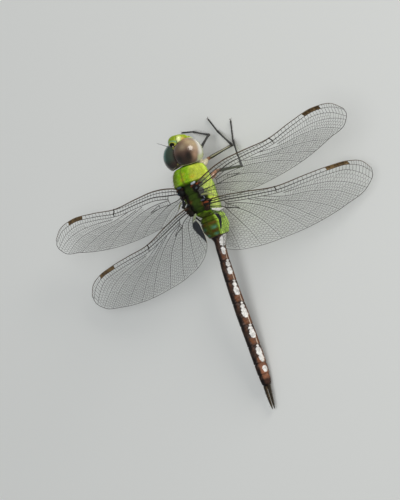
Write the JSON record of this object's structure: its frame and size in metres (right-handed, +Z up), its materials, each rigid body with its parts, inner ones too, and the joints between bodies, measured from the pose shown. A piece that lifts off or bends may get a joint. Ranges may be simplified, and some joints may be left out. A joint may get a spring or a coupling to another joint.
{
  "type": "dragonfly",
  "caption": "Life-size darner dragonfly standing with its wings spread and its long slim abdomen straight behind it.",
  "frame": {"origin": "middle of the bounding box, at the floor it stands on", "axes": "+X to the insect's left across the spread wings, -Y towards its head, +Z up"},
  "size_m": [0.1082, 0.0797, 0.0187],
  "materials": {
    "thorax_green": "satin hard shell, lime green",
    "face_green": "smooth hard shell, yellow-green",
    "eye_brown": "glossy faceted cornea, mauve-brown",
    "abdomen_green": "satin hard shell, green with rusty marks",
    "abdomen_brown": "satin hard shell, red-brown with pale spots",
    "leg_black": "glossy hard shell, near black",
    "leg_base": "satin hard shell, pinkish brown",
    "wing_clear": "clear glossy membrane between dark veins",
    "horn_dark": "satin hard shell, dark brown"
  },
  "bodies": {
    "root": {"abdomen_segment_1": "abdomen_green", "abdomen_segment_10": "abdomen_brown", "abdomen_segment_2": "abdomen_green", "abdomen_segment_3": "abdomen_brown", "abdomen_segment_4": "abdomen_brown", "abdomen_segment_5": "abdomen_brown", "abdomen_segment_6": "abdomen_brown", "abdomen_segment_7": "abdomen_brown", "abdomen_segment_8": "abdomen_brown", "abdomen_segment_9": "abdomen_brown", "antenna_left": "leg_black", "antenna_right": "leg_black", "cercus_left": "horn_dark", "cercus_right": "horn_dark", "clypeus": "face_green", "coxa_fore_left": "leg_base", "coxa_fore_right": "leg_base", "coxa_hind_left": "leg_base", "coxa_hind_right": "leg_base", "coxa_mid_left": "leg_base", "coxa_mid_right": "leg_base", "epiproct": "horn_dark", "eye_left": "eye_brown", "eye_right": "eye_brown", "femur_fore_left": "leg_black", "femur_fore_right": "leg_black", "femur_hind_left": "leg_black", "femur_hind_right": "leg_black", "femur_mid_left": "leg_black", "femur_mid_right": "leg_black", "forewing_left": "wing_clear", "forewing_right": "wing_clear", "frons": "face_green", "head_capsule": "face_green", "hindwing_left": "wing_clear", "hindwing_right": "wing_clear", "labium": "face_green", "labrum": "face_green", "neck": "leg_base", "prothorax": "thorax_green", "tarsus_fore_left": "leg_black", "tarsus_fore_right": "leg_black", "tarsus_hind_left": "leg_black", "tarsus_hind_right": "leg_black", "tarsus_mid_left": "leg_black", "tarsus_mid_right": "leg_black", "thorax": "thorax_green", "tibia_fore_left": "leg_black", "tibia_fore_right": "leg_black", "tibia_hind_left": "leg_black", "tibia_hind_right": "leg_black", "tibia_mid_left": "leg_black", "tibia_mid_right": "leg_black"}
  },
  "joints": []
}
